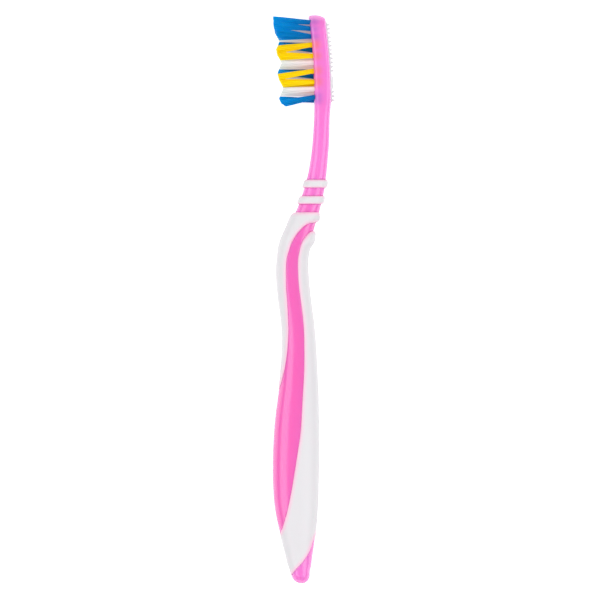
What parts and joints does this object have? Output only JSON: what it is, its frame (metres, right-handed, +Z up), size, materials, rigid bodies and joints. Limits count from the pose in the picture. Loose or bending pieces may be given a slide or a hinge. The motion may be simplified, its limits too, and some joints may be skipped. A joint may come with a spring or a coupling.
{
  "type": "manual toothbrush",
  "caption": "Manual toothbrush with a curved two-material handle, soft neck rings, criss-cross bristle tufts with a wavy trim, and a tongue cleaner on the head's back.",
  "frame": {"origin": "on the table, under the middle of the brush as it lies on its side", "axes": "+Y along the brush to the tip of the head, +Z up from the table, bristles point to -X"},
  "size_m": [0.0209, 0.19, 0.0134],
  "materials": {
    "handle_plastic": "translucent pink polypropylene with a polished mould finish",
    "grip_rubber": "white thermoplastic elastomer, satin",
    "tongue_pad": "milky translucent thermoplastic elastomer, satin",
    "bristle_blue": "blue nylon filament",
    "bristle_yellow": "yellow nylon filament",
    "bristle_white": "white nylon filament",
    "anchor_metal": "flat drawn wire, bright"
  },
  "bodies": {
    "root": {"handle_core": "handle_plastic", "front_grip": "grip_rubber", "back_grip": "grip_rubber", "neck_ring_upper": "grip_rubber", "neck_ring_lower": "grip_rubber", "tongue_cleaner": "tongue_pad", "tuft_anchors": "anchor_metal", "tuft_right_outer_01": "bristle_blue", "tuft_right_outer_02": "bristle_blue", "tuft_right_outer_03": "bristle_blue", "tuft_right_outer_04": "bristle_yellow", "tuft_right_outer_05": "bristle_yellow", "tuft_right_outer_06": "bristle_white", "tuft_right_outer_07": "bristle_yellow", "tuft_right_outer_08": "bristle_yellow", "tuft_right_outer_09": "bristle_white", "tuft_right_outer_10": "bristle_blue", "tuft_right_inner_01": "bristle_white", "tuft_right_inner_02": "bristle_white", "tuft_right_inner_03": "bristle_white", "tuft_right_inner_04": "bristle_blue", "tuft_right_inner_05": "bristle_white", "tuft_right_inner_06": "bristle_white", "tuft_right_inner_07": "bristle_blue", "tuft_right_inner_08": "bristle_yellow", "tuft_right_inner_09": "bristle_white", "tuft_left_inner_01": "bristle_blue", "tuft_left_inner_02": "bristle_white", "tuft_left_inner_03": "bristle_blue", "tuft_left_inner_04": "bristle_white", "tuft_left_inner_05": "bristle_white", "tuft_left_inner_06": "bristle_blue", "tuft_left_inner_07": "bristle_white", "tuft_left_inner_08": "bristle_blue", "tuft_left_inner_09": "bristle_white", "tuft_left_outer_01": "bristle_blue", "tuft_left_outer_02": "bristle_blue", "tuft_left_outer_03": "bristle_blue", "tuft_left_outer_04": "bristle_yellow", "tuft_left_outer_05": "bristle_yellow", "tuft_left_outer_06": "bristle_white", "tuft_left_outer_07": "bristle_yellow", "tuft_left_outer_08": "bristle_yellow", "tuft_left_outer_09": "bristle_white", "tuft_left_outer_10": "bristle_blue"}
  },
  "joints": []
}
